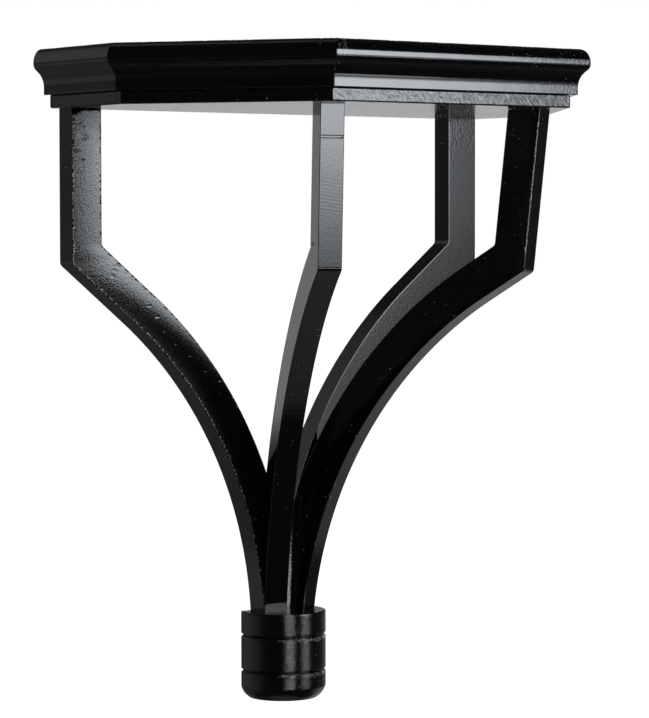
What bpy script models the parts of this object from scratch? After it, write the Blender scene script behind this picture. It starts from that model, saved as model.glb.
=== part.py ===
"""A wooden shelf bracket: a moulded six-cornered shelf on four swept ribs that stand on a turned drop.

Metres, +Z up. The wall is the plane y = 0, and the bracket stands out from it towards -Y. The origin is on
the back edge of the moulded board, halfway along the wall and halfway up the board.
"""

from collections import namedtuple
from math import atan2, cos, pi, radians, sin, tan

import bmesh
import bpy
from mathutils import Matrix, Vector

# Shelf, seen from above: a long edge at the wall, short returns, slanting sides and a narrower front
WALL_EDGE = 0.3110
RETURN_DEPTH = 0.0728
FRONT_EDGE = 0.1707
SHELF_DEPTH = 0.1735
MOULDED_BOARD = 0.0260
UNDER_BOARD = 0.0074
UNDER_BOARD_EASING = 0.0018

# Edge moulding of the board, as distances out from the under-board's edge and up from the board's foot
FILLET_OUT = 0.0042
FILLET_HEIGHT = 0.0043
COVE_RADIUS = 0.0112
COVE_TURN = radians(55)
NOSE_OUT = 0.0111
TOP_FLAT_OUT = 0.0053

# Ribs: boards sawn to a pattern with an upright, a knee, a straight run and a sweep down to the foot.
# reach is the upright's outer edge from the axis that the ribs gather on, and foot_out the sweep's outer
# edge where its arc is upright, foot_depth below the shelf. turn is the board's direction from straight
# out of the wall, and aside and back move its foot. lean_out and lean_aside tip the board about its foot.
Rib = namedtuple(
    "Rib",
    "thickness reach upright_width foot_out foot_depth sweep_radius sweep_width slope "
    "turn aside back lean_out lean_aside",
)
LEFT_WALL_RIB = Rib(
    thickness=0.0139,
    reach=0.1503,
    upright_width=0.0205,
    foot_out=0.0163,
    foot_depth=0.3144,
    sweep_radius=0.2455,
    sweep_width=0.0213,
    slope=radians(38.8),
    turn=radians(-90),
    aside=0,
    back=0.0006,
    lean_out=0,
    lean_aside=0,
)
RIGHT_WALL_RIB = LEFT_WALL_RIB._replace(
    reach=0.1499,
    upright_width=0.0217,
    foot_out=0.0168,
    foot_depth=0.3112,
    sweep_radius=0.2430,
    sweep_width=0.0216,
    slope=radians(38.4),
    turn=radians(90),
    back=0.0013,
)
LEFT_FRONT_RIB = RIGHT_WALL_RIB._replace(
    thickness=0.0137,
    reach=0.1488,
    upright_width=0.0204,
    foot_depth=0.3231,
    sweep_radius=0.2750,
    sweep_width=0.0211,
    slope=radians(31.1),
    turn=radians(-24.6),
    aside=-0.0059,
    back=0.0066,
    lean_out=radians(1.5),
    lean_aside=radians(0.8),
)
RIGHT_FRONT_RIB = LEFT_FRONT_RIB._replace(
    thickness=0.0118,
    reach=0.1456,
    upright_width=0.0212,
    foot_depth=0.2979,
    sweep_radius=0.2386,
    sweep_width=0.0229,
    slope=radians(35),
    turn=radians(19.1),
    aside=0.0098,
    back=0.0034,
    lean_out=radians(3.9),
    lean_aside=radians(4.4),
)
RIB_HEIGHT = 0.2980

# Turned drop under the ribs, planed flat where it meets the wall
DROP_RADIUS = 0.0259
DROP_HEIGHT = 0.0526
DROP_AXIS_FROM_WALL = 0.0096
DROP_ASIDE = 0.0010
DROP_RIM_EASING = 0.0010
GROOVE_DEPTHS = (0.0142, 0.0355)
GROOVE_HALF_HEIGHT = 0.0011
GROOVE_CUT = 0.0015
DROP_BASE_IN = 0.0055
DROP_BASE_UP = 0.0072
DROP_BASE_BULGE = 0.0006

# Pieces that touch keep a joint's width between them
JOINT = 0.0003
OVERLENGTH = 0.0200
SWEEP_STEPS = 18
TURN_STEPS = 72

BOARD_FOOT = -MOULDED_BOARD / 2
UNDERSIDE = BOARD_FOOT - UNDER_BOARD
DROP_TOP = UNDERSIDE - RIB_HEIGHT

BLACK_PAINT = (0.005, 0.005, 0.0055, 1)


def black_paint(name, roughness):
    material = bpy.data.materials.new(name)
    material.use_nodes = True
    shader = material.node_tree.nodes["Principled BSDF"]
    shader.inputs["Base Color"].default_value = BLACK_PAINT
    shader.inputs["Roughness"].default_value = roughness
    shader.inputs["Metallic"].default_value = 0.0
    return material


def object_from(shape, name, material, sharp_above=None):
    """Makes a closed bmesh a named object, flat-shaded or smooth up to the angle sharp_above."""
    bmesh.ops.recalc_face_normals(shape, faces=shape.faces)
    mesh = bpy.data.meshes.new(name)
    shape.to_mesh(mesh)
    shape.free()
    if sharp_above is not None:
        mesh.shade_smooth()
        mesh.set_sharp_from_angle(angle=sharp_above)
    mesh.materials.append(material)
    piece = bpy.data.objects.new(name, mesh)
    bpy.context.scene.collection.objects.link(piece)
    return piece


def saw_off(shape, point, away):
    """Removes what lies past the plane through point on the side that away points to, and closes the cut."""
    everything = list(shape.verts) + list(shape.edges) + list(shape.faces)
    cut = bmesh.ops.bisect_plane(
        shape, geom=everything, dist=0.000001, plane_co=point, plane_no=away, clear_outer=True
    )
    edges = [item for item in cut["geom_cut"] if isinstance(item, bmesh.types.BMEdge)]
    bmesh.ops.holes_fill(shape, edges=edges)


def ring_stack(shape, rings):
    """Joins rings of points, listed from one end to the other, into a closed body."""
    loops = [[shape.verts.new(point) for point in ring] for ring in rings]
    shape.faces.new(reversed(loops[0]))
    shape.faces.new(loops[-1])
    for loop, following in zip(loops, loops[1:]):
        for i, corner in enumerate(loop):
            j = (i + 1) % len(loop)
            shape.faces.new((corner, loop[j], following[j], following[i]))


def arc(centre, across, up, start, end, steps):
    """Points on an ellipse with half axes across and up, from angle start to angle end."""
    angles = [start + (end - start) * i / steps for i in range(steps + 1)]
    return [(centre[0] + across * cos(a), centre[1] + up * sin(a)) for a in angles]


def shelf_plan(outset):
    """The shelf's six corners as (x, y), moved out by outset along every side but the one at the wall."""
    half_wall = WALL_EDGE / 2
    half_front = FRONT_EDGE / 2
    slant = atan2(SHELF_DEPTH - RETURN_DEPTH, half_wall - half_front)
    return_corner = RETURN_DEPTH + outset * tan((pi / 2 - slant) / 2)
    front_corner = half_front + outset * tan(slant / 2)
    right = [
        (front_corner, -SHELF_DEPTH - outset),
        (half_wall + outset, -return_corner),
        (half_wall + outset, 0),
    ]
    left = [(-x, y) for x, y in reversed(right)]
    return left + right


def shelf_board(name, profile, material, sharp_above=None):
    """A board with the shelf's plan, from (outset, height) pairs up its edge."""
    shape = bmesh.new()
    ring_stack(shape, [[(x, y, height) for x, y in shelf_plan(outset)] for outset, height in profile])
    return object_from(shape, name, material, sharp_above)


def moulded_edge():
    """The moulding from the board's foot up: fillet, cove, nose and the round up to the flat top."""
    cove = arc((FILLET_OUT + COVE_RADIUS, FILLET_HEIGHT), COVE_RADIUS, COVE_RADIUS, pi, pi - COVE_TURN, 8)
    cove_out, cove_top = cove[-1]
    lower_radius = (NOSE_OUT - cove_out) / (1 - cos(COVE_TURN))
    nose_height = cove_top + lower_radius * sin(COVE_TURN)
    lower = arc((NOSE_OUT - lower_radius, nose_height), lower_radius, lower_radius, -COVE_TURN, 0, 5)
    upper_centre = (TOP_FLAT_OUT, nose_height)
    upper = arc(upper_centre, NOSE_OUT - TOP_FLAT_OUT, MOULDED_BOARD - nose_height, 0, pi / 2, 8)
    profile = [(FILLET_OUT, 0)] + cove + lower[1:] + upper[1:]
    return [(outset, BOARD_FOOT + height) for outset, height in profile]


def under_board_edge():
    """The under-board's edge, eased at the lower arris, up to its joint with the moulded board."""
    easing = UNDER_BOARD_EASING
    profile = arc((-easing, easing), easing, easing, -pi / 2, 0, 3) + [(0, UNDER_BOARD - JOINT)]
    return [(outset, UNDERSIDE + height) for outset, height in profile]


def rib_edge(rib, inset):
    """One long edge of a rib's pattern as (outward, height) pairs, inset from the outer edge."""
    radius = rib.sweep_radius + inset * rib.sweep_width
    upright = rib.reach - inset * rib.upright_width
    centre = (rib.foot_out + rib.sweep_radius, -rib.foot_depth)
    sweep = arc(centre, -radius, radius, pi / 2 - rib.slope, 0, SWEEP_STEPS)
    outward, height = sweep[0]
    knee = height + (upright - outward) * tan(rib.slope)
    foot, foot_height = sweep[-1]
    return [(upright, OVERLENGTH), (upright, knee)] + sweep + [(foot, foot_height - OVERLENGTH)]


def rib_board(rib):
    """A rib's board in place, too long at its top and foot."""
    shape = bmesh.new()
    half = rib.thickness / 2
    rings = []
    for outer, inner in zip(rib_edge(rib, 0), rib_edge(rib, 1)):
        ring = [(outer, -half), (outer, half), (inner, half), (inner, -half)]
        rings.append([(aside, -outward, height) for (outward, height), aside in ring])
    ring_stack(shape, rings)
    foot = Vector((0, -rib.foot_out, -RIB_HEIGHT))
    tip = Matrix.Rotation(rib.lean_aside, 4, "Y") @ Matrix.Rotation(rib.lean_out, 4, "X")
    about_foot = Matrix.Translation(foot) @ tip @ Matrix.Translation(-foot)
    shift = Matrix.Translation((rib.aside, rib.back, 0))
    axis = Matrix.Translation((0, -DROP_AXIS_FROM_WALL, UNDERSIDE))
    shape.transform(axis @ Matrix.Rotation(rib.turn, 4, "Z") @ shift @ about_foot)
    return shape


def finish_rib(name, shape, material):
    """Saws a rib's board level under the shelf and on the drop."""
    saw_off(shape, (0, 0, UNDERSIDE - JOINT), (0, 0, 1))
    saw_off(shape, (0, 0, DROP_TOP + JOINT), (0, 0, -1))
    return object_from(shape, name, material)


def wall_rib(name, rib, side, material):
    """A rib that lies flat on the wall. Its foot meets the other wall rib's foot over the drop."""
    shape = rib_board(rib)
    to_wall = DROP_AXIS_FROM_WALL - rib.thickness / 2
    bmesh.ops.translate(shape, verts=shape.verts, vec=(0, to_wall, 0))
    saw_off(shape, (side * JOINT / 2, 0, 0), (-side, 0, 0))
    return finish_rib(name, shape, material)


def front_rib(name, rib, material):
    """A rib that runs out to a front corner of the shelf. Its foot butts on the wall ribs."""
    shape = rib_board(rib)
    saw_off(shape, (0, -LEFT_WALL_RIB.thickness - JOINT, 0), (0, 1, 0))
    return finish_rib(name, shape, material)


def drop_profile():
    """The turned drop's outline from its rim down, as (radius, depth) pairs."""
    easing = DROP_RIM_EASING
    profile = [(DROP_RADIUS - easing, 0), (DROP_RADIUS - easing * 0.3, easing * 0.3), (DROP_RADIUS, easing)]
    for depth in GROOVE_DEPTHS:
        profile.append((DROP_RADIUS, depth - GROOVE_HALF_HEIGHT))
        profile.append((DROP_RADIUS - GROOVE_CUT, depth))
        profile.append((DROP_RADIUS, depth + GROOVE_HALF_HEIGHT))
    base_steps = 5
    for i in range(base_steps + 1):
        share = i / base_steps
        bulge = DROP_BASE_BULGE * sin(pi * share)
        radius = DROP_RADIUS - DROP_BASE_IN * share + bulge
        profile.append((radius, DROP_HEIGHT - DROP_BASE_UP * (1 - share) + bulge))
    return profile


def turned_drop(name, material):
    """The drop, turned on its axis and planed flat at the wall."""
    shape = bmesh.new()
    angles = [2 * pi * i / TURN_STEPS for i in range(TURN_STEPS)]
    rings = []
    for radius, depth in reversed(drop_profile()):
        height = DROP_TOP - depth
        rings.append(
            [(DROP_ASIDE + radius * cos(a), radius * sin(a) - DROP_AXIS_FROM_WALL, height) for a in angles]
        )
    ring_stack(shape, rings)
    saw_off(shape, (0, 0, 0), (0, 1, 0))
    return object_from(shape, name, material, sharp_above=radians(28))


def main():
    for old in list(bpy.data.objects):
        bpy.data.objects.remove(old)
    gloss = black_paint("gloss_black_paint", 0.22)
    worn = black_paint("worn_black_paint", 0.32)
    turned = black_paint("turned_black_paint", 0.18)
    shelf_board("moulded_shelf_board", moulded_edge(), gloss, sharp_above=radians(24))
    shelf_board("under_board", under_board_edge(), gloss, sharp_above=radians(35))
    wall_rib("left_wall_rib", LEFT_WALL_RIB, -1, worn)
    wall_rib("right_wall_rib", RIGHT_WALL_RIB, 1, worn)
    front_rib("left_front_rib", LEFT_FRONT_RIB, worn)
    front_rib("right_front_rib", RIGHT_FRONT_RIB, worn)
    turned_drop("turned_drop", turned)


main()
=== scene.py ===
from collections import namedtuple
from math import atan2, cos, pi, radians, sin, tan

import bmesh
import bpy
from mathutils import Matrix, Vector, noise


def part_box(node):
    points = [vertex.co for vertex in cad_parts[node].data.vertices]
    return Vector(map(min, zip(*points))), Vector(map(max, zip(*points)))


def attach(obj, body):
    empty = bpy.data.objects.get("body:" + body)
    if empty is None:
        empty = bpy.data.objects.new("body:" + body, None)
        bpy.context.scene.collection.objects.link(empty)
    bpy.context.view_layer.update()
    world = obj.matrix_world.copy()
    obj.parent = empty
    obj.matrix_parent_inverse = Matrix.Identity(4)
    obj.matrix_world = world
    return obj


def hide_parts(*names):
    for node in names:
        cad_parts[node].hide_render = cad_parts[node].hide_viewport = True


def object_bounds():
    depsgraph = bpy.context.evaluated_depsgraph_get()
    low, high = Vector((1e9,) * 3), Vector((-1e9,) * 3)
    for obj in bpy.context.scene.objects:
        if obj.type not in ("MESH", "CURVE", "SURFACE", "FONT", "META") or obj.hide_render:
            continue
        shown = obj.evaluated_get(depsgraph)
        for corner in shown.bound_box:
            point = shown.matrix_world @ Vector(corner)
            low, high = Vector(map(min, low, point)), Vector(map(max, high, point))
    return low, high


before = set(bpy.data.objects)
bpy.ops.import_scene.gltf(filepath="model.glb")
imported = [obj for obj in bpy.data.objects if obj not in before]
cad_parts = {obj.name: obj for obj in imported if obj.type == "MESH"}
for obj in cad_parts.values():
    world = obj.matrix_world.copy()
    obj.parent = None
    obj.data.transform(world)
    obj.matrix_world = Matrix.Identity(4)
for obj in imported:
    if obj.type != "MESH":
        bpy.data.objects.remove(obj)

cad_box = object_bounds()

# Moulded shelf board: a softwood plank cut to six corners, its five free edges run with a fillet, a cove and
# a nose, then brushed with black gloss enamel. The paint rounds each arris a little, isn't quite level and
# has dust in it; pale specks, thickest on the nose, are dust and painted glints.
board_low, board_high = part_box("moulded_shelf_board")
under_low, under_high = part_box("under_board")
HALF_WALL_EDGE = under_high.x
SHELF_DEPTH = -under_low.y
RETURN_DEPTH = 0.0728
HALF_FRONT_EDGE = 0.08535
FILLET_OUT = 0.0042
FILLET_HEIGHT = 0.0043
COVE_RADIUS = 0.0112
COVE_TURN = radians(55)
NOSE_OUT = board_high.x - under_high.x
TOP_FLAT_OUT = 0.0053
PAINTED_ARRIS = 0.0004
FOOT_ARRIS = 0.0006
SUPPORT = 0.0004
COLUMN_SPACING = 0.0016
FOOT_RING = 0.003
TOP_RINGS = (0.002, 0.010)

BLACK_ENAMEL = "#030304"
# Colour of the pale specks: dust in the paint, and painted glints where the gloss would catch the lamps
PALE_DUST_AND_GLINTS = "#B9B8B4"
ENAMEL_IOR = 1.52
METRE = 1000
MM = 0.001
UNEVEN_DEPTH = 0.00004
UNEVEN_LENGTH = 0.014
FINER_DEPTH = 0.4
FINER_BY = 3.2
STAND_BACK = 0.0002
NIB_RADII = (0.00007, 0.00017)
FEW_NIBS = 3000
SOME_NIBS = 6000
CLEAR_OF_BASE = 0.0005
SHARP_FROM = radians(38)


def linear(colour):
    """A colour written as sRGB hex, as the linear RGBA that the sockets take."""
    parts = [int(colour[i : i + 2], 16) / 255 for i in (1, 3, 5)]
    return [((c + 0.055) / 1.055) ** 2.4 if c > 0.04045 else c / 12.92 for c in parts] + [1.0]


def add_node(tree, kind, inputs=None, **settings):
    """Adds a node with its settings, and links or sets its inputs, given by name or number."""
    node = tree.nodes.new(kind)
    for name, value in settings.items():
        setattr(node, name, value)
    for name, value in (inputs or {}).items():
        if isinstance(value, bpy.types.NodeSocket):
            tree.links.new(value, node.inputs[name])
        else:
            node.inputs[name].default_value = value
    return node


def smooth_step(value, start, end):
    """Rises smoothly from 0 at start to 1 at end."""
    share = min(1.0, max(0.0, (value - start) / (end - start)))
    return share * share * (3 - 2 * share)


def arc(centre, across, up, start, end, steps):
    """Points on an ellipse with half axes across and up, from angle start to angle end."""
    angles = [start + (end - start) * i / steps for i in range(steps + 1)]
    return [(centre[0] + across * cos(a), centre[1] + up * sin(a)) for a in angles]


def round_corner(before, corner, after, easing):
    """Points round a corner that the paint has rounded, with one more on each side to keep the flats flat."""
    towards = (before - corner).normalized()
    on = (after - corner).normalized()
    near = min(easing + SUPPORT, (before - corner).length * 0.9)
    far = min(easing + SUPPORT, (after - corner).length * 0.9)
    start = corner + towards * min(easing, near * 0.6)
    end = corner + on * min(easing, far * 0.6)
    shares = [i / 4 for i in range(5)]
    turned = [start.lerp(corner, share).lerp(corner.lerp(end, share), share) for share in shares]
    return [corner + towards * near] + turned + [corner + on * far]


def ease_line(points, easing):
    """Rounds each corner of a line that turns by more than 12 degrees, and keeps the line's ends."""
    points = [Vector(point) for point in points]
    eased = [points[0]]
    for before, corner, after in zip(points, points[1:], points[2:]):
        if (corner - before).angle(after - corner) > radians(12):
            eased += round_corner(before, corner, after, easing)
        else:
            eased.append(corner)
    return eased + [points[-1]]


def shelf_plan(outset):
    """The shelf's six corners, moved out by outset along every side but the one at the wall."""
    slant = atan2(SHELF_DEPTH - RETURN_DEPTH, HALF_WALL_EDGE - HALF_FRONT_EDGE)
    return_corner = RETURN_DEPTH + outset * tan((pi / 2 - slant) / 2)
    front_corner = HALF_FRONT_EDGE + outset * tan(slant / 2)
    right = [
        (front_corner, -SHELF_DEPTH - outset),
        (HALF_WALL_EDGE + outset, -return_corner),
        (HALF_WALL_EDGE + outset, 0),
    ]
    return [Vector((-x, y)) for x, y in reversed(right)] + [Vector(corner) for corner in right]


def ring_round_plan(outset, height, easing=PAINTED_ARRIS):
    """One ring of the shelf's edge, with the same number of points at every outset."""
    corners = shelf_plan(outset)
    base = shelf_plan(0)
    ring = [corners[0]]
    for i in range(1, len(corners)):
        last = i == len(corners) - 1
        turned = [corners[i]] if last else round_corner(corners[i - 1], corners[i], corners[i + 1], easing)
        columns = round((base[i] - base[i - 1]).length / COLUMN_SPACING)
        start = ring[-1]
        ring += [start.lerp(turned[0], j / columns) for j in range(1, columns)] + turned
    return [Vector((x, y, height)) for x, y in ring]


def closed_stack(name, rings):
    """A closed mesh through rings of points, listed from the bottom up."""
    count = len(rings[0])
    columns = range(count)
    faces = [list(reversed(columns)), [i + count * (len(rings) - 1) for i in columns]]
    for start in range(0, count * (len(rings) - 1), count):
        for i in columns:
            j = (i + 1) % count
            faces.append([start + i, start + j, start + j + count, start + i + count])
    mesh = bpy.data.meshes.new(name)
    mesh.from_pydata([point for ring in rings for point in ring], [], faces)
    shape = bmesh.new()
    shape.from_mesh(mesh)
    bmesh.ops.recalc_face_normals(shape, faces=shape.faces)
    shape.to_mesh(mesh)
    shape.free()
    return mesh


def brush_unevenly(mesh):
    """Sinks the upright surfaces by a smooth, uneven depth, as paint laid by hand, but not at the wall."""
    for vertex in mesh.vertices:
        if vertex.co.y < -0.0001 and abs(vertex.normal.z) < 0.98:
            place = vertex.co / UNEVEN_LENGTH
            ripple = noise.noise(place) + FINER_DEPTH * noise.noise(place * FINER_BY)
            vertex.co -= vertex.normal * (STAND_BACK + UNEVEN_DEPTH * ripple)


def enamel(
    name, gloss, skin_height, skin_size, mark_height=0.0, mark_size=1.0, stretch=(1, 1, 1), slant=0.0
):
    """Black enamel with a skin that isn't quite level, over the marks of the tool in the wood.

    Heights are in metres and sizes in millimetres. The point attribute stipple scales the skin's height.
    """
    paint = bpy.data.materials.new(name)
    paint.use_nodes = True
    tree = paint.node_tree
    tree.nodes.clear()
    place = add_node(tree, "ShaderNodeTexCoord").outputs["Object"]
    inputs = {"Vector": place, "Scale": METRE / skin_size, "Detail": 2.0}
    skin = add_node(tree, "ShaderNodeTexNoise", inputs).outputs["Fac"]
    stippled = add_node(tree, "ShaderNodeAttribute", attribute_name="stipple").outputs["Fac"]
    inputs = {0: stippled, 1: skin_height}
    skin_height = add_node(tree, "ShaderNodeMath", inputs, operation="MULTIPLY").outputs[0]
    skin = add_node(tree, "ShaderNodeMath", {0: skin, 1: skin_height}, operation="MULTIPLY").outputs[0]
    inputs = {"Vector": place, "Rotation": (0, slant, 0), "Scale": stretch}
    turned = add_node(tree, "ShaderNodeMapping", inputs, vector_type="TEXTURE").outputs[0]
    inputs = {"Vector": turned, "Scale": METRE / mark_size, "Detail": 1.0}
    marks = add_node(tree, "ShaderNodeTexNoise", inputs).outputs["Fac"]
    inputs = {0: marks, 1: mark_height, 2: skin}
    height = add_node(tree, "ShaderNodeMath", inputs, operation="MULTIPLY_ADD").outputs[0]
    inputs = {"Height": height, "Strength": 1.0, "Distance": 1.0}
    bump = add_node(tree, "ShaderNodeBump", inputs).outputs["Normal"]
    inputs = {"Base Color": linear(BLACK_ENAMEL), "Roughness": gloss, "IOR": ENAMEL_IOR, "Normal": bump}
    shader = add_node(tree, "ShaderNodeBsdfPrincipled", inputs)
    add_node(tree, "ShaderNodeOutputMaterial", {"Surface": shader.outputs["BSDF"]})
    return paint


# Small pale, matt specks: dust that settled in the wet paint, and painted glints that stand in for the gloss
# catching the lamps
dust_and_glint_specks = bpy.data.materials.new("pale_dust_and_painted_glints")
dust_and_glint_specks.use_nodes = True
dust_and_glint_specks.node_tree.nodes["Principled BSDF"].inputs["Base Color"].default_value = linear(PALE_DUST_AND_GLINTS)
dust_and_glint_specks.node_tree.nodes["Principled BSDF"].inputs["Roughness"].default_value = 0.7


def nib_tree():
    """Scatters pale nibs, dust and painted glints, over a piece, as thickly as its point attribute nibs says.
    """
    tree = bpy.data.node_groups.new("dust_and_glint_nibs", "GeometryNodeTree")
    tree.is_modifier = True
    face = tree.interface
    face.new_socket(name="Piece", in_out="INPUT", socket_type="NodeSocketGeometry")
    face.new_socket(name="Dust", in_out="INPUT", socket_type="NodeSocketMaterial")
    face.new_socket(name="Smallest", in_out="INPUT", socket_type="NodeSocketFloat")
    face.new_socket(name="Largest", in_out="INPUT", socket_type="NodeSocketFloat")
    face.new_socket(name="Seed", in_out="INPUT", socket_type="NodeSocketInt")
    face.new_socket(name="Nibbed Piece", in_out="OUTPUT", socket_type="NodeSocketGeometry")
    given = add_node(tree, "NodeGroupInput").outputs
    density = add_node(tree, "GeometryNodeInputNamedAttribute", {"Name": "nibs"}).outputs["Attribute"]
    inputs = {"Mesh": given["Piece"], "Density": density, "Seed": given["Seed"]}
    points = add_node(tree, "GeometryNodeDistributePointsOnFaces", inputs).outputs["Points"]
    nib = add_node(tree, "GeometryNodeMeshIcoSphere", {"Radius": 1.0, "Subdivisions": 1}).outputs["Mesh"]
    size = add_node(tree, "FunctionNodeRandomValue", {2: given["Smallest"], 3: given["Largest"]}).outputs[1]
    inputs = {"Points": points, "Instance": nib, "Scale": size}
    nibs = add_node(tree, "GeometryNodeInstanceOnPoints", inputs).outputs["Instances"]
    nibs = add_node(tree, "GeometryNodeRealizeInstances", {"Geometry": nibs}).outputs[0]
    nibs = add_node(tree, "GeometryNodeSetMaterial", {"Geometry": nibs, "Material": given["Dust"]}).outputs[0]
    both = add_node(tree, "GeometryNodeJoinGeometry")
    tree.links.new(nibs, both.inputs[0])
    tree.links.new(given["Piece"], both.inputs[0])
    add_node(tree, "NodeGroupOutput", {0: both.outputs[0]})
    return tree


def run_tree(obj, tree, inputs):
    """The mesh that a Geometry Nodes tree makes from an object, which is then removed."""
    modifier = obj.modifiers.new(tree.name, "NODES")
    modifier.node_group = tree
    sockets = {item.name: item.identifier for item in tree.interface.items_tree if item.in_out == "INPUT"}
    for name, value in inputs.items():
        modifier[sockets[name]] = value
    graph = bpy.context.evaluated_depsgraph_get()
    mesh = bpy.data.meshes.new_from_object(obj.evaluated_get(graph))
    obj.modifiers.clear()
    bpy.data.objects.remove(obj)
    return mesh


dust_and_glint_nibs = nib_tree()


def finish_piece(name, mesh, node, paint, nibs, stipple, seed):
    """Paints a piece's mesh, scatters pale nibs of dust and painted glints over it, and sets it on the root
    body in place of its part.

    The rules nibs and stipple give the nibs a square metre and the stipple's strength at a point.
    """
    mesh.shade_smooth()
    mesh.set_sharp_from_angle(angle=SHARP_FROM)
    mesh.materials.clear()
    mesh.materials.append(paint)
    density = []
    for vertex in mesh.vertices:
        clear = vertex.co.z > cad_box[0].z + CLEAR_OF_BASE
        inside = clear and vertex.co.y < -0.001 and vertex.normal.z < 0.97
        density.append(nibs(vertex.co) if inside else 0.0)
    strength = [stipple(vertex.co) for vertex in mesh.vertices]
    mesh.attributes.new("nibs", "FLOAT", "POINT").data.foreach_set("value", density)
    mesh.attributes.new("stipple", "FLOAT", "POINT").data.foreach_set("value", strength)
    bare = bpy.data.objects.new("bare_" + name, mesh)
    bpy.context.scene.collection.objects.link(bare)
    inputs = {"Dust": dust_and_glint_specks, "Smallest": NIB_RADII[0], "Largest": NIB_RADII[1], "Seed": seed}
    nibbed = run_tree(bare, dust_and_glint_nibs, inputs)
    nibbed.name = name
    piece = bpy.data.objects.new(name, nibbed)
    bpy.context.scene.collection.objects.link(piece)
    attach(piece, "root")
    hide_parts(node)
    return piece


# Brushed on the smooth run moulding: the glossiest, it mirrors the lamps as clean stripes
board_enamel = enamel("gloss_enamel_on_moulding", 0.10, 0.006 * MM, 1.6)
thickness = board_high.z - board_low.z
cove = arc((FILLET_OUT + COVE_RADIUS, FILLET_HEIGHT), COVE_RADIUS, COVE_RADIUS, pi, pi - COVE_TURN, 14)
cove_out, cove_top = cove[-1]
lower_radius = (NOSE_OUT - cove_out) / (1 - cos(COVE_TURN))
nose_height = cove_top + lower_radius * sin(COVE_TURN)
lower = arc((NOSE_OUT - lower_radius, nose_height), lower_radius, lower_radius, -COVE_TURN, 0, 10)
upper = arc((TOP_FLAT_OUT, nose_height), NOSE_OUT - TOP_FLAT_OUT, thickness - nose_height, 0, pi / 2, 14)
moulding = [(FILLET_OUT - FOOT_RING, 0), (FILLET_OUT, 0)] + cove + lower[1:] + upper[1:]
moulding += [(TOP_FLAT_OUT - ring, thickness) for ring in TOP_RINGS]
rings = [ring_round_plan(outset, board_low.z + up) for outset, up in ease_line(moulding, FOOT_ARRIS)]
board_mesh = closed_stack("shelf_moulding", rings)
brush_unevenly(board_mesh)


# Pale specks, dust and painted glints, are thickest on the nose's highlight stripe: at its left front corner
# and towards the right end of the front.
NIBBED_HEIGHT = board_low.z + nose_height + 0.003
NIBBED_BAND = 0.008
NIBBED_CORNER = 0.004
NOSE_NIBS = 5000
CORNER_NIBS = 300000
RIGHT_END_NIBS = 90000
RIGHT_END = (0.01, 0.09)


def board_nibs(place):
    """Thickest at the nose's left front corner, and on the nose towards the right end of the front."""
    on_nose = max(0.0, 1 - abs(place.z - NIBBED_HEIGHT) / NIBBED_BAND)
    to_right = min(1.0, max(0.0, (place.x - RIGHT_END[0]) / 0.07))
    in_front = place.y < -SHELF_DEPTH
    at_corner = in_front and abs(place.x + HALF_FRONT_EDGE) < NIBBED_CORNER and on_nose > 0.4
    on_nose *= NOSE_NIBS + RIGHT_END_NIBS * to_right * in_front
    return FEW_NIBS + CORNER_NIBS * at_corner + on_nose


def board_stipple(place):
    """The paint is rougher towards the right end of the front."""
    return 1.0 + 14.0 * smooth_step(place.x, *RIGHT_END)


finish_piece(
    "shelf_moulding",
    board_mesh,
    "moulded_shelf_board",
    board_enamel,
    board_nibs,
    board_stipple,
    seed=3,
)

# Under-board: a thinner board glued under the moulding and set back from it. Its lower arris is eased, more
# so on the left return. Its sawn edge shows slanting saw marks through the paint.
ARRIS_IN_FRONT = 0.0010
ARRIS_AT_LEFT = 0.0018
WIDENS_FROM = -0.120
WIDENS_OVER = 0.020
BOTTOM_RING = 0.008
TOP_RING = 0.004
GLUE_FILM = 0.00001
UNDER_NIBS = 4000
STIPPLED_TO = (-0.075, 0.0)

# Brushed on an edge left from the saw: the marks show through as slanting bright and dark lines
under_enamel = enamel(
    "gloss_enamel_on_sawn_edge", 0.08, 0.006 * MM, 1.0, 0.22 * MM, 0.9, (5.0, 1.0, 1.0), radians(42)
)
board_thickness = board_low.z - under_low.z - GLUE_FILM


def under_board_rings(easing):
    """The rings of the under-board, with its lower arris eased by easing."""
    half = board_thickness / 2
    edge = ease_line([(-BOTTOM_RING, 0), (0, 0), (0, half)], easing)
    edge += ease_line([(0, half), (0, board_thickness), (-TOP_RING, board_thickness)], FOOT_ARRIS)[1:]
    return [ring_round_plan(outset, under_low.z + up) for outset, up in edge]


rings = []
for slight, strong in zip(under_board_rings(ARRIS_IN_FRONT), under_board_rings(ARRIS_AT_LEFT)):
    shares = [min(1.0, max(0.0, (WIDENS_FROM - point.x) / WIDENS_OVER)) for point in slight]
    rings.append([a.lerp(b, share) for a, b, share in zip(slight, strong, shares)])
under_mesh = closed_stack("set_back_board", rings)
brush_unevenly(under_mesh)


def under_nibs(place):
    """The same all over."""
    return UNDER_NIBS


def under_stipple(place):
    """The paint is stippled towards the left end of the front."""
    return 1.0 + 7.0 * (1 - smooth_step(place.x, *STIPPLED_TO))


finish_piece(
    "set_back_board",
    under_mesh,
    "under_board",
    under_enamel,
    under_nibs,
    under_stipple,
    seed=5,
)

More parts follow.
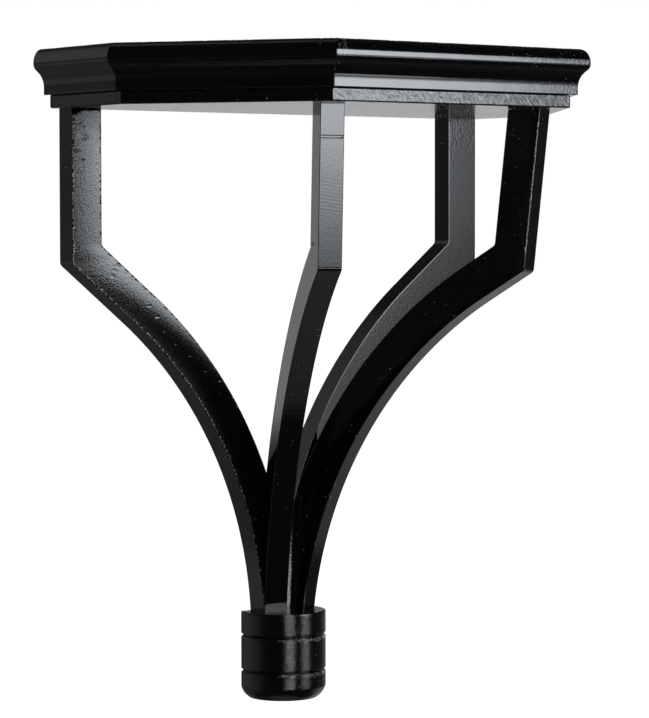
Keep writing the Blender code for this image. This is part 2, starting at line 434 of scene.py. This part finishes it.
# Ribs: four half-inch boards sawn to much the same pattern, an upright, a knee, a straight run and a sweep
# down to the foot. The outer two lie on the wall, the inner two run out to the front corners. All are
# butted and glued under the shelf and on the drop, then brushed with the same enamel. reach is the upright's
# outer edge from the axis that the ribs gather on, and the leans tip a board about its foot.
Rib = namedtuple(
    "Rib",
    "thickness reach upright_width foot_out foot_depth sweep_radius sweep_width slope "
    "turn aside back lean_out lean_aside",
)
LEFT_WALL_RIB = Rib(
    thickness=0.0139,
    reach=0.1503,
    upright_width=0.0205,
    foot_out=0.0163,
    foot_depth=0.3144,
    sweep_radius=0.2455,
    sweep_width=0.0213,
    slope=radians(38.8),
    turn=radians(-90),
    aside=0,
    back=0.0006,
    lean_out=0,
    lean_aside=0,
)
RIGHT_WALL_RIB = LEFT_WALL_RIB._replace(
    reach=0.1499,
    upright_width=0.0217,
    foot_out=0.0168,
    foot_depth=0.3112,
    sweep_radius=0.2430,
    sweep_width=0.0216,
    slope=radians(38.4),
    turn=radians(90),
    back=0.0013,
)
LEFT_FRONT_RIB = RIGHT_WALL_RIB._replace(
    thickness=0.0137,
    reach=0.1488,
    upright_width=0.0204,
    foot_depth=0.3231,
    sweep_radius=0.2750,
    sweep_width=0.0211,
    slope=radians(31.1),
    turn=radians(-24.6),
    aside=-0.0059,
    back=0.0066,
    lean_out=radians(1.5),
    lean_aside=radians(0.8),
)
RIGHT_FRONT_RIB = LEFT_FRONT_RIB._replace(
    thickness=0.0118,
    reach=0.1456,
    upright_width=0.0212,
    foot_depth=0.2979,
    sweep_radius=0.2386,
    sweep_width=0.0229,
    slope=radians(35),
    turn=radians(19.1),
    aside=0.0098,
    back=0.0034,
    lean_out=radians(3.9),
    lean_aside=radians(4.4),
)
RIB_HEIGHT = 0.2980
UNDERSIDE = under_low.z
DROP_TOP = UNDERSIDE - RIB_HEIGHT
DROP_AXIS_FROM_WALL = 0.0096
OVERLENGTH = 0.0200
GLUE_LINE = 0.00002
SWEEP_STEPS = 60
STATION_SPACING = 0.0005
SECTION_SPACING = 0.0009
SAWN_ARRIS = 0.00040
KNEE_EASING = 0.0022

# Brushed on sawn wood: glossy, with a soft orange-peel skin
rib_enamel = enamel("gloss_enamel_on_sawn_rib", 0.08, 0.10 * MM, 1.5)


def rib_edge(rib, inset):
    """One long edge of a rib's pattern as (outward, height) pairs, inset from the outer edge."""
    radius = rib.sweep_radius + inset * rib.sweep_width
    upright = rib.reach - inset * rib.upright_width
    centre = (rib.foot_out + rib.sweep_radius, -rib.foot_depth)
    sweep = arc(centre, -radius, radius, pi / 2 - rib.slope, 0, SWEEP_STEPS)
    outward, height = sweep[0]
    knee = Vector((upright, height + (upright - outward) * tan(rib.slope)))
    top = Vector((upright, OVERLENGTH))
    rounded = round_corner(top, knee, Vector(sweep[1]), KNEE_EASING)
    foot, foot_height = sweep[-1]
    return [tuple(point) for point in [top] + rounded] + sweep[1:] + [(foot, foot_height - OVERLENGTH)]


def rib_place(rib, from_wall):
    """Where a rib's pattern stands: turned to its direction, and tipped about its foot."""
    foot = Vector((0, -rib.foot_out, -RIB_HEIGHT))
    tip = Matrix.Rotation(rib.lean_aside, 4, "Y") @ Matrix.Rotation(rib.lean_out, 4, "X")
    about_foot = Matrix.Translation(foot) @ tip @ Matrix.Translation(-foot)
    shift = Matrix.Translation((rib.aside, rib.back, 0))
    turn = Matrix.Rotation(rib.turn, 4, "Z")
    return Matrix.Translation((0, -from_wall, UNDERSIDE)) @ turn @ shift @ about_foot


def poly_curve(name, points, closed=False):
    """A curve object through points, with straight stretches between them."""
    curve = bpy.data.curves.new(name, "CURVE")
    curve.dimensions = "3D"
    spline = curve.splines.new("POLY")
    spline.points.add(len(points) - 1)
    for point, co in zip(spline.points, points):
        point.co = (*co, 1)
    spline.use_cyclic_u = closed
    obj = bpy.data.objects.new(name, curve)
    bpy.context.scene.collection.objects.link(obj)
    return obj


def sawn_section(width, thickness, easing):
    """A board's section from x = 0 to its width, centred on y = 0, with its arrises just rounded."""
    half = thickness / 2
    corners = [Vector(c) for c in ((0, -half), (width, -half), (width, half), (0, half))]
    turns = [round_corner(corners[i - 1], corners[i], corners[(i + 1) % 4], easing) for i in range(4)]
    points = []
    for turn, following in zip(turns, turns[1:] + turns[:1]):
        points += turn
        count = round((turn[-1] - following[0]).length / SECTION_SPACING)
        points += [turn[-1].lerp(following[0], j / count) for j in range(1, count)]
    return [(x, y, 0) for x, y in points]


def sawn_board_tree():
    """Bends a straight board to a pattern: each station along it lies between the two edge curves."""
    tree = bpy.data.node_groups.new("sawn_board", "GeometryNodeTree")
    tree.is_modifier = True
    for name, kind in (
        ("Section", "NodeSocketGeometry"),
        ("Outer Edge", "NodeSocketObject"),
        ("Inner Edge", "NodeSocketObject"),
        ("Face Direction", "NodeSocketVector"),
        ("Width", "NodeSocketFloat"),
        ("Station Spacing", "NodeSocketFloat"),
        ("Paint", "NodeSocketMaterial"),
    ):
        tree.interface.new_socket(name=name, in_out="INPUT", socket_type=kind)
    tree.interface.new_socket(name="Board", in_out="OUTPUT", socket_type="NodeSocketGeometry")
    given = add_node(tree, "NodeGroupInput").outputs
    outer = add_node(tree, "GeometryNodeObjectInfo", {"Object": given["Outer Edge"]}).outputs["Geometry"]
    inner = add_node(tree, "GeometryNodeObjectInfo", {"Object": given["Inner Edge"]}).outputs["Geometry"]
    length = add_node(tree, "GeometryNodeCurveLength", {"Curve": outer}).outputs["Length"]
    line = add_node(tree, "GeometryNodeCurvePrimitiveLine").outputs["Curve"]
    inputs = {0: length, 1: given["Station Spacing"]}
    stations = add_node(tree, "ShaderNodeMath", inputs, operation="DIVIDE").outputs[0]
    path = add_node(tree, "GeometryNodeResampleCurve", {"Curve": line, "Count": stations}).outputs["Curve"]
    factor = add_node(tree, "GeometryNodeSplineParameter").outputs["Factor"]
    inputs = {"Geometry": path, "Name": "station", "Value": factor}
    path = add_node(tree, "GeometryNodeStoreNamedAttribute", inputs).outputs["Geometry"]
    drawn = add_node(tree, "GeometryNodeInputPosition").outputs["Position"]
    inputs = {"Geometry": given["Section"], "Name": "section", "Value": drawn}
    section = add_node(tree, "GeometryNodeStoreNamedAttribute", inputs, data_type="FLOAT_VECTOR").outputs[0]
    inputs = {"Curve": path, "Profile Curve": section, "Fill Caps": True}
    board = add_node(tree, "GeometryNodeCurveToMesh", inputs).outputs["Mesh"]
    station = add_node(tree, "GeometryNodeInputNamedAttribute", {"Name": "station"}).outputs["Attribute"]
    placed = add_node(tree, "GeometryNodeInputNamedAttribute", {"Name": "section"}, data_type="FLOAT_VECTOR")
    placed = add_node(tree, "ShaderNodeSeparateXYZ", {0: placed.outputs["Attribute"]}).outputs
    inputs = {"Curves": outer, "Factor": station}
    on_outer = add_node(tree, "GeometryNodeSampleCurve", inputs).outputs["Position"]
    inputs = {"Curves": inner, "Factor": station}
    on_inner = add_node(tree, "GeometryNodeSampleCurve", inputs).outputs["Position"]
    inputs = {0: on_inner, 1: on_outer}
    across = add_node(tree, "ShaderNodeVectorMath", inputs, operation="SUBTRACT").outputs[0]
    inputs = {0: placed["X"], 1: given["Width"]}
    share = add_node(tree, "ShaderNodeMath", inputs, operation="DIVIDE").outputs[0]
    inputs = {0: across, "Scale": share}
    across = add_node(tree, "ShaderNodeVectorMath", inputs, operation="SCALE").outputs[0]
    inputs = {0: given["Face Direction"], "Scale": placed["Y"]}
    through = add_node(tree, "ShaderNodeVectorMath", inputs, operation="SCALE").outputs[0]
    inputs = {0: on_outer, 1: across}
    position = add_node(tree, "ShaderNodeVectorMath", inputs, operation="ADD").outputs[0]
    inputs = {0: position, 1: through}
    position = add_node(tree, "ShaderNodeVectorMath", inputs, operation="ADD").outputs[0]
    board = add_node(tree, "GeometryNodeSetPosition", {"Geometry": board, "Position": position}).outputs[0]
    board = add_node(tree, "GeometryNodeRealizeInstances", {"Geometry": board}).outputs[0]
    inputs = {"Geometry": board, "Material": given["Paint"]}
    board = add_node(tree, "GeometryNodeSetMaterial", inputs).outputs[0]
    add_node(tree, "NodeGroupOutput", {0: board})
    return tree


def saw_off(mesh, cuts):
    """Removes what lies past each plane, given by a point and the side to lose, and closes the cuts."""
    shape = bmesh.new()
    shape.from_mesh(mesh)
    bmesh.ops.recalc_face_normals(shape, faces=shape.faces)
    for point, away in cuts:
        everything = list(shape.verts) + list(shape.edges) + list(shape.faces)
        cut = bmesh.ops.bisect_plane(
            shape, geom=everything, dist=0.000001, plane_co=point, plane_no=away, clear_outer=True
        )
        edges = [item for item in cut["geom_cut"] if isinstance(item, bmesh.types.BMEdge)]
        bmesh.ops.holes_fill(shape, edges=edges)
    shape.to_mesh(mesh)
    shape.free()


sawn_board = sawn_board_tree()


def sawn_rib(rib, from_wall, foot_cut):
    """A rib's bare mesh, sawn level under the shelf and on the drop, and at its foot along foot_cut.

    Its point attribute section holds each point's place across and through the board.
    """
    place = rib_place(rib, from_wall)
    edges = []
    for inset in (0, 1):
        points = [place @ Vector((0, -outward, height)) for outward, height in rib_edge(rib, inset)]
        edges.append(poly_curve("pattern_edge", points))
    outline = sawn_section(rib.sweep_width, rib.thickness, SAWN_ARRIS)
    section = poly_curve("sawn_section", outline, closed=True)
    inputs = {
        "Outer Edge": edges[0],
        "Inner Edge": edges[1],
        "Face Direction": place.to_3x3() @ Vector((1, 0, 0)),
        "Width": rib.sweep_width,
        "Station Spacing": STATION_SPACING,
        "Paint": rib_enamel,
    }
    mesh = run_tree(section, sawn_board, inputs)
    for edge in edges:
        bpy.data.objects.remove(edge)
    top_cut = ((0, 0, UNDERSIDE - GLUE_LINE), (0, 0, 1))
    bottom_cut = ((0, 0, DROP_TOP + GLUE_LINE), (0, 0, -1))
    saw_off(mesh, [top_cut, bottom_cut, foot_cut])
    return mesh


def few_nibs(place):
    """A clean piece, with the few nibs that any brushed paint has."""
    return FEW_NIBS


# Left wall rib: its face is planed a little thinner from its outer edge inwards on the upright. The arrises
# are ragged, the outer one most near the top, and the face's top is torn back. It has pinholes, a check at
# the knee and burst bubbles down the sweep, given as (x, z, half width, half height, depth).
FACE_TURN = radians(3.2)
MOST_THINNED = 0.0013
TURN_FADES = (-0.185, -0.110)
FACE = -0.0136
RAGGED_LENGTHS = (0.0011, 0.004)
RAGGED_REACH = 0.0006
REACH_NEAR_TOP = 0.0012
NEAR_TOP = (-0.060, -0.024)
RAGGED_DEPTH = 0.0003
SPLINTER_DEPTH = 0.0008
SPLINTER_LENGTH = 0.0004
TORN_FROM = -0.0214
TORN_DEEPER = 0.0028
TORN_CORNER = (0.1420, 0.1490)
TORN_UNEVEN = 0.0009
TORN_SLOPE = 0.8
STIPPLE_FADES = (-0.165, -0.100)
PITS = (
    (-0.1450, -0.0288, 0.0006, 0.0006, 0.0004),
    (-0.1423, -0.0305, 0.0005, 0.0005, 0.0003),
    (-0.1477, -0.0447, 0.0010, 0.0005, 0.0004),
    (-0.1457, -0.0447, 0.0007, 0.0005, 0.0003),
    (-0.1424, -0.0498, 0.0009, 0.0005, 0.0003),
    (-0.1477, -0.0510, 0.0008, 0.0006, 0.0004),
    (-0.1424, -0.0543, 0.0005, 0.0005, 0.0003),
    (-0.1440, -0.0575, 0.0005, 0.0006, 0.0003),
    (-0.1416, -0.0367, 0.0040, 0.0020, 0.0001),
    (-0.1223, -0.1159, 0.0010, 0.0016, 0.00012),
    (-0.1206, -0.1130, 0.0010, 0.0016, 0.00012),
    (-0.1189, -0.1102, 0.0010, 0.0016, 0.00012),
    (-0.0969, -0.1335, 0.0008, 0.0008, 0.00018),
    (-0.0915, -0.1400, 0.0012, 0.0008, 0.00018),
    (-0.0864, -0.1482, 0.0008, 0.0012, 0.00018),
    (-0.0790, -0.1560, 0.0012, 0.0007, 0.00018),
    (-0.0688, -0.1633, 0.0010, 0.0008, 0.00018),
    (-0.0582, -0.1724, 0.0014, 0.0007, 0.00018),
    (-0.0474, -0.1786, 0.0012, 0.0006, 0.00018),
)

# Brushed and then rubbed: duller than the other ribs, with a close stipple
rubbed_enamel = enamel("rubbed_enamel_on_sawn_rib", 0.15, 0.075 * MM, 1.1)
mesh = sawn_rib(LEFT_WALL_RIB, LEFT_WALL_RIB.thickness / 2, ((-GLUE_LINE, 0, 0), (1, 0, 0)))
section = mesh.attributes["section"].data
for vertex in mesh.vertices:
    x, y, z = vertex.co
    across, through, _ = section[vertex.index].vector
    thinned = min(MOST_THINNED, across * tan(FACE_TURN)) * smooth_step(z, *TURN_FADES)
    vertex.co.y *= 1 - thinned / LEFT_WALL_RIB.thickness
    if y < FACE:
        short, long = RAGGED_LENGTHS
        ragged = noise.noise(Vector((x, 0, z)) / short) + 0.5 * noise.noise(Vector((x, 1, z)) / long)
        torn_from = TORN_FROM - TORN_DEEPER * smooth_step(-x, *TORN_CORNER) - TORN_UNEVEN * max(0.0, ragged)
        vertex.co.y += TORN_SLOPE * max(0.0, z - torn_from)
        near_top = smooth_step(z, *NEAR_TOP)
        outer_half = across < LEFT_WALL_RIB.sweep_width / 2
        reach = RAGGED_REACH + REACH_NEAR_TOP * near_top * outer_half
        from_arris = min(across, LEFT_WALL_RIB.sweep_width - across)
        if from_arris < reach and ragged > 0.25 - 0.3 * near_top:
            splinter = abs(noise.noise(Vector((x, 2, z)) / SPLINTER_LENGTH))
            vertex.co.y += RAGGED_DEPTH + SPLINTER_DEPTH * splinter
        for pit_x, pit_z, wide, high, depth in PITS:
            far = ((x - pit_x) / wide) ** 2 + ((z - pit_z) / high) ** 2
            if far < 1:
                vertex.co.y += depth * (1 - far)


def left_stipple(place):
    """The stipple is strong on the upright and weaker down the sweep."""
    return 0.3 + 0.7 * smooth_step(place.z, *STIPPLE_FADES)


finish_piece(
    "left_rib_at_wall", mesh, "left_wall_rib", rubbed_enamel, few_nibs, left_stipple, seed=7
)


# Right wall rib: the same board the other way round, with a few more pale specks, dust and painted glints, in
# its paint. The stipple is strong near its top, weak down the upright and stronger again on the sweep.
STIPPLED_ABOVE = (-0.055, -0.030)
STIPPLED_BELOW = (-0.150, -0.105)


def some_nibs(place):
    """A piece with more pale specks, dust and painted glints, in its paint."""
    return SOME_NIBS


def right_stipple(place):
    """How strong the stipple is at a height."""
    above = 0.4 * smooth_step(place.z, *STIPPLED_ABOVE)
    below = 0.14 * (1 - smooth_step(place.z, *STIPPLED_BELOW))
    return 0.22 + above + below


mesh = sawn_rib(RIGHT_WALL_RIB, RIGHT_WALL_RIB.thickness / 2, ((GLUE_LINE, 0, 0), (-1, 0, 0)))
finish_piece(
    "right_rib_at_wall", mesh, "right_wall_rib", rib_enamel, some_nibs, right_stipple, seed=8
)

# Left front rib: butted on the wall ribs at its foot. A stray saw kerf crosses its outer edge near the top.
# Below that the brush left fine ripples, and just above the knee the paint lies in soft dents. Each range
# of heights rises to full strength over its first two values and falls from it over its last two.
KERF = -0.0385
KERF_HALF_WIDTH = 0.0006
KERF_DEPTH = 0.0007
EDGE_BAND = 0.0006
RIPPLED = (-0.090, -0.076, -0.066, -0.058)
RIPPLE_DEPTH = 0.000005
RIPPLE_PITCH = 0.0019
RIPPLE_SLANT = 0.15
DENTED = (-0.140, -0.118, -0.114, -0.108)
DENT_DEPTH = 0.00003
DENT_LENGTH = 0.0035
butt = ((0, -LEFT_WALL_RIB.thickness - GLUE_LINE, 0), (0, 1, 0))


def slight_stipple(place):
    """Well brushed out."""
    return 0.15


mesh = sawn_rib(LEFT_FRONT_RIB, DROP_AXIS_FROM_WALL, butt)
section = mesh.attributes["section"].data
out_of_edge = rib_place(LEFT_FRONT_RIB, DROP_AXIS_FROM_WALL).to_3x3() @ Vector((0, -1, 0))
for vertex in mesh.vertices:
    across, through, _ = section[vertex.index].vector
    if across < EDGE_BAND:
        z = vertex.co.z
        if abs(z - KERF) < KERF_HALF_WIDTH:
            vertex.co -= out_of_edge * KERF_DEPTH
        rippled = smooth_step(z, *RIPPLED[:2]) * (1 - smooth_step(z, *RIPPLED[2:]))
        wave = 1 + sin(2 * pi * (z + through * RIPPLE_SLANT) / RIPPLE_PITCH)
        vertex.co -= out_of_edge * RIPPLE_DEPTH * rippled * wave
        dented = smooth_step(z, *DENTED[:2]) * (1 - smooth_step(z, *DENTED[2:]))
        dent = 1 + noise.noise(Vector((0, 0, z)) / DENT_LENGTH)
        vertex.co -= out_of_edge * DENT_DEPTH * dented * dent
finish_piece(
    "left_rib_to_corner", mesh, "left_front_rib", rib_enamel, few_nibs, slight_stipple, seed=9
)

# Right front rib: thinner, and butted like the other. Along its front arris down the upright, pale specks are
# set close as a thin broken line, a painted highlight.
ARRIS_HIGHLIGHT_BAND = 0.0004
ARRIS_HIGHLIGHT_FROM = -0.105
ARRIS_HIGHLIGHT_TO = -0.026
ARRIS_HIGHLIGHT_NIBS = 4000000
mesh = sawn_rib(RIGHT_FRONT_RIB, DROP_AXIS_FROM_WALL, butt)
to_pattern = rib_place(RIGHT_FRONT_RIB, DROP_AXIS_FROM_WALL).inverted()


def arris_highlight_specks(place):
    """Pale specks close along the upright's front arris as a painted highlight, and some dust and painted
    glints elsewhere.
    """
    aside, inward, _ = to_pattern @ place
    at_side = aside < ARRIS_HIGHLIGHT_BAND - RIGHT_FRONT_RIB.thickness / 2
    at_edge = inward < ARRIS_HIGHLIGHT_BAND - RIGHT_FRONT_RIB.reach
    return ARRIS_HIGHLIGHT_NIBS if at_side and at_edge and ARRIS_HIGHLIGHT_FROM < place.z < ARRIS_HIGHLIGHT_TO else SOME_NIBS


finish_piece(
    "right_rib_to_corner",
    mesh,
    "right_front_rib",
    rib_enamel,
    arris_highlight_specks,
    slight_stipple,
    seed=10,
)

# Turned drop: a softwood block turned on the lathe with two V grooves and a domed base, then planed flat
# where it meets the wall. The ribs' feet are glued on its top. Fine rings from the tool lie under the paint,
# and pale specks, dust and painted glints, crowd the lower lips of the grooves.
drop_low, drop_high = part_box("turned_drop")
DROP_RADIUS = (drop_high.x - drop_low.x) / 2
DROP_ASIDE = (drop_high.x + drop_low.x) / 2
DROP_HEIGHT = drop_high.z - drop_low.z
GROOVE_DEPTHS = (0.0142, 0.0355)
GROOVE_HALF_HEIGHT = 0.0011
GROOVE_CUT = 0.0015
RIM_EASING = 0.0010
BASE_IN = 0.0055
BASE_UP = 0.0072
BASE_BULGE = 0.0006
BASE_STEPS = 14
RING_SPACING = 0.0012
GROOVE_ARRIS = 0.00025
TURN_STEPS = 160
FLAT_RING = 0.004
LIP = (0.0006, 0.0020)
LIP_NIBS = 1500000
FRONT_NIBS = 12000
FRONT_FADES = (-0.9, -0.3)

# Brushed on turned wood: glossy, and faintly ringed by the tool marks under it
drop_enamel = enamel("gloss_enamel_on_turned_wood", 0.14, 0.10 * MM, 1.0, 0.10 * MM, 0.8, (4.0, 4.0, 1.0))
top_ring = Vector((DROP_RADIUS - FLAT_RING, 0))
rim = round_corner(top_ring, Vector((DROP_RADIUS, 0)), Vector((DROP_RADIUS, FLAT_RING)), RIM_EASING)
profile = [tuple(top_ring)] + [tuple(point) for point in rim]
for depth in GROOVE_DEPTHS:
    profile.append((DROP_RADIUS, depth - GROOVE_HALF_HEIGHT))
    profile.append((DROP_RADIUS - GROOVE_CUT, depth))
    profile.append((DROP_RADIUS, depth + GROOVE_HALF_HEIGHT))
for i in range(BASE_STEPS + 1):
    share = i / BASE_STEPS
    bulge = BASE_BULGE * sin(pi * share)
    profile.append((DROP_RADIUS - BASE_IN * share + bulge, DROP_HEIGHT - BASE_UP * (1 - share) + bulge))
profile.append((DROP_RADIUS - BASE_IN - FLAT_RING, DROP_HEIGHT))
eased = ease_line(profile, GROOVE_ARRIS)
profile = [eased[0]]
for point in eased[1:]:
    parts = max(1, round((point - profile[-1]).length / RING_SPACING))
    profile += [profile[-1].lerp(point, (i + 1) / parts) for i in range(parts)]
angles = [2 * pi * i / TURN_STEPS for i in range(TURN_STEPS)]
rings = []
for radius, depth in reversed(profile):
    round_axis = [(DROP_ASIDE + radius * cos(a), radius * sin(a) - DROP_AXIS_FROM_WALL) for a in angles]
    rings.append([(x, y, drop_high.z - depth) for x, y in round_axis])
drop_mesh = closed_stack("turned_block", rings)
saw_off(drop_mesh, [((0, 0, 0), (0, 1, 0))])


def drop_nibs(place):
    """Thickest on the lower lips of the grooves, and more in front than at the left."""
    depth = drop_high.z - place.z
    on_lip = any(LIP[0] < depth - groove < LIP[1] for groove in GROOVE_DEPTHS)
    direction = atan2(place.x - DROP_ASIDE, -place.y - DROP_AXIS_FROM_WALL)
    in_front = smooth_step(direction, *FRONT_FADES)
    return LIP_NIBS * in_front if on_lip else FEW_NIBS + FRONT_NIBS * in_front


def full_stipple(place):
    """The same all over."""
    return 1.0


finish_piece(
    "turned_block", drop_mesh, "turned_drop", drop_enamel, drop_nibs, full_stipple, seed=11
)

# Studio: a pale floor far below, white behind the object, two square softboxes in front of it that fade at
# their edges, the floor below them lit, and dark flags between and beside them, which the gloss reflects.
HALF_FLOOR = 30.0
FLOOR_BELOW = 0.30
floor_mesh = bpy.data.meshes.new("pale_floor")
corners = [(x * HALF_FLOOR, y * HALF_FLOOR) for x, y in ((-1, -1), (1, -1), (1, 1), (-1, 1))]
floor_mesh.from_pydata([(x, y, cad_box[0].z - FLOOR_BELOW) for x, y in corners], [], [(0, 1, 2, 3)])
floor_paint = bpy.data.materials.new("matt_white_paper")
floor_paint.use_nodes = True
paper = floor_paint.node_tree.nodes["Principled BSDF"]
paper.inputs["Base Color"].default_value = linear("#F4F4F4")
paper.inputs["Roughness"].default_value = 0.9
paper.inputs["Emission Color"].default_value = (1, 1, 1, 1)
paper.inputs["Emission Strength"].default_value = 1.0
floor_mesh.materials.append(floor_paint)
floor = bpy.data.objects.new("pale_floor", floor_mesh)
bpy.context.scene.collection.objects.link(floor)
floor.visible_glossy = False

# Ramps of the lamps' brightness: up the foot of each softbox, across the right one and up the lit floor
SOFTBOX_DISTANCE = 1.5
LEFT_FOOT = (
    (-0.30, 0), (-0.25, 0.05), (-0.205, 0.20), (-0.188, 0.28), (-0.17, 0.30), (-0.145, 0.50), (-0.125, 0.53),
    (-0.102, 0.66), (-0.08, 0.83), (-0.06, 0.93), (0.0, 1.0),
)
RIGHT_FOOT = (
    (-0.505, 0.13), (-0.42, 0.16), (-0.372, 0.14), (-0.335, 0.17), (-0.293, 0.17),
    (-0.25, 0.2), (-0.207, 0.28), (-0.17, 0.40),
    (-0.13, 0.55), (-0.09, 0.75), (-0.05, 0.9), (0.0, 1.0),
)
SOFT_RIGHT = (
    (0.40, 0), (0.46, 1), (0.94, 1), (1.03, 0.91), (1.12, 0.80), (1.20, 0.66), (1.25, 0.49), (1.27, 0.26),
    (1.38, 0.16), (1.50, 0.04), (1.55, 0),
)
LIT_FLOOR = (
    (-0.62, 0), (-0.595, 0.03), (-0.58, 0.06), (-0.56, 0.22), (-0.548, 0.6), (-0.53, 1.0), (-0.515, 1.0),
    (-0.505, 0),
)


def brightness_along(tree, value, levels):
    """A ramp of brightness along one direction, from (place in metres, level) pairs."""
    first, last = levels[0][0], levels[-1][0]
    share = add_node(tree, "ShaderNodeMapRange", {"Value": value, 1: first, 2: last}).outputs[0]
    ramp = add_node(tree, "ShaderNodeValToRGB", {"Fac": share})
    elements = ramp.color_ramp.elements
    for i, (place, level) in enumerate(levels):
        position = (place - first) / (last - first)
        element = elements[i] if i < 2 else elements.new(position)
        element.position = position
        element.color = (level, level, level, 1)
    return ramp.outputs["Color"]


def softbox(name, left, right, bottom, top, radiance, up=(), across=(), tint="#FFFFFF"):
    """A square light on the plane y = -SOFTBOX_DISTANCE that faces the wall and may fade up and across."""
    light = bpy.data.lights.new(name, "AREA")
    light.shape = "RECTANGLE"
    light.size = right - left
    light.size_y = top - bottom
    light.energy = radiance * pi * light.size * light.size_y
    light.use_nodes = True
    tree = light.node_tree
    tree.nodes.clear()
    place = add_node(tree, "ShaderNodeNewGeometry").outputs["Position"]
    place = add_node(tree, "ShaderNodeSeparateXYZ", {0: place}).outputs
    colour = add_node(tree, "ShaderNodeRGB")
    colour.outputs[0].default_value = linear(tint)
    colour = colour.outputs[0]
    for value, levels in ((place["Z"], up), (place["X"], across)):
        if levels:
            fade = brightness_along(tree, value, levels)
            inputs = {0: 1.0, 6: colour, 7: fade}
            faded = add_node(tree, "ShaderNodeMix", inputs, data_type="RGBA", blend_type="MULTIPLY")
            colour = faded.outputs[2]
    glow = add_node(tree, "ShaderNodeEmission", {"Color": colour, "Strength": 1.0})
    add_node(tree, "ShaderNodeOutputLight", {"Surface": glow.outputs[0]})
    lamp = bpy.data.objects.new(name, light)
    lamp.location = ((left + right) / 2, -SOFTBOX_DISTANCE, (bottom + top) / 2)
    lamp.rotation_euler = (radians(90), 0, 0)
    lamp.visible_camera = False
    bpy.context.scene.collection.objects.link(lamp)


softbox("left_softbox", -0.76, -0.16, -0.30, 0.60, 10.4, LEFT_FOOT, tint="#F4FAFF")
softbox("right_softbox", 0.40, 1.55, -0.505, 0.60, 11.6, RIGHT_FOOT, SOFT_RIGHT, tint="#F4FAFF")
softbox("lit_floor_left", -0.78, -0.18, -0.62, -0.505, 24.0, LIT_FLOOR)
softbox("lit_floor_right", 0.45, 1.15, -0.62, -0.505, 11.0, LIT_FLOOR)

# Grey of the studio round the object, by compass direction in degrees from straight out of the wall,
# positive to the right: overhead, level with it, just below it, far below, under it and straight down. The
# layers blend between two values of the direction's upward share.
HIGH = ((-180, 0.1), (-150, 0.4), (-135, 0.4), (-105, 0.04), (-45, 0.01), (50, 0.01), (95, 0.03), (143, 0.05))
HIGH += ((180, 0.05),)
LEVEL = ((-180, 0.42), (-168, 0.40), (-150, 0.16), (-143, 0.12), (-125, 0.12), (-105, 0.05), (-85, 0.02))
LEVEL += ((-45, 0.01), (50, 0.02), (75, 0.06), (95, 0.11), (120, 0.3), (134, 0.74), (152, 0.74), (166, 0.42))
LEVEL += ((180, 0.42),)
BELOW = ((-180, 0.05), (-165, 0.19), (-138, 0.32), (-115, 0.26), (-105, 0.22), (-96, 0.13), (-87, 0.04))
BELOW += ((-45, 0.01), (50, 0.02), (64, 0.04), (95, 0.10), (120, 0.30), (145, 0.30), (165, 0.07), (180, 0.05))
DEEP = ((-180, 0.12), (-120, 0.2), (-95, 0.12), (-75, 0.03), (-45, 0.02), (20, 0.01), (60, 0.02), (80, 0.3))
DEEP += ((95, 0.42), (124, 0.55), (145, 0.3), (165, 0.1), (180, 0.1))
BOTTOM = ((-180, 0.04), (-60, 0.02), (60, 0.02), (100, 0.06), (125, 0.18), (140, 0.14), (180, 0.04))
STRAIGHT_DOWN = ((-180, 0.22), (180, 0.22))
world = bpy.data.worlds.new("studio")
bpy.context.scene.world = world
world.use_nodes = True
tree = world.node_tree
tree.nodes.clear()
direction = add_node(tree, "ShaderNodeTexCoord").outputs["Generated"]
parts = add_node(tree, "ShaderNodeSeparateXYZ", {0: direction}).outputs
outward = add_node(tree, "ShaderNodeMath", {0: parts["Y"], 1: -1.0}, operation="MULTIPLY").outputs[0]
turn = add_node(tree, "ShaderNodeMath", {0: parts["X"], 1: outward}, operation="ARCTAN2").outputs[0]
turn = add_node(tree, "ShaderNodeMath", {0: turn}, operation="DEGREES").outputs[0]
LAYERS = (
    (BOTTOM, -0.96, -0.92),
    (DEEP, -0.72, -0.60),
    (BELOW, -0.38, -0.30),
    (LEVEL, -0.070, -0.055),
    (HIGH, 0.065, 0.115),
)
studio = brightness_along(tree, turn, STRAIGHT_DOWN)
for levels, bottom, top in LAYERS:
    inputs = {"Value": parts["Z"], 1: bottom, 2: top}
    share = add_node(tree, "ShaderNodeMapRange", inputs, interpolation_type="SMOOTHSTEP").outputs[0]
    inputs = {0: share, 6: studio, 7: brightness_along(tree, turn, levels)}
    studio = add_node(tree, "ShaderNodeMix", inputs, data_type="RGBA").outputs[2]
is_camera = add_node(tree, "ShaderNodeLightPath").outputs["Is Camera Ray"]
inputs = {0: is_camera, 6: studio, 7: (1, 1, 1, 1)}
seen = add_node(tree, "ShaderNodeMix", inputs, data_type="RGBA").outputs[2]
background = add_node(tree, "ShaderNodeBackground", {"Color": seen, "Strength": 1.0})
add_node(tree, "ShaderNodeOutputWorld", {"Surface": background.outputs[0]})
bpy.context.scene.view_settings.view_transform = "Standard"

# Camera: on the left, a little below the shelf, with a long lens.
CAMERA_PLACE = Vector((-1.0509, -1.4392, -0.0876))
VIEW_DIRECTION = Vector((0.6035, 0.7961, -0.0449))
CAMERA_ROLL = -0.0015
LENS = 148.26
camera_data = bpy.data.cameras.new("camera")
camera_data.lens = LENS
camera_data.sensor_width = 36.0
camera = bpy.data.objects.new("camera", camera_data)
camera.location = CAMERA_PLACE
camera.rotation_mode = "QUATERNION"
upright = VIEW_DIRECTION.to_track_quat("-Z", "Y")
camera.rotation_quaternion = upright @ Matrix.Rotation(CAMERA_ROLL, 3, "Z").to_quaternion()
bpy.context.scene.collection.objects.link(camera)
bpy.context.scene.camera = camera
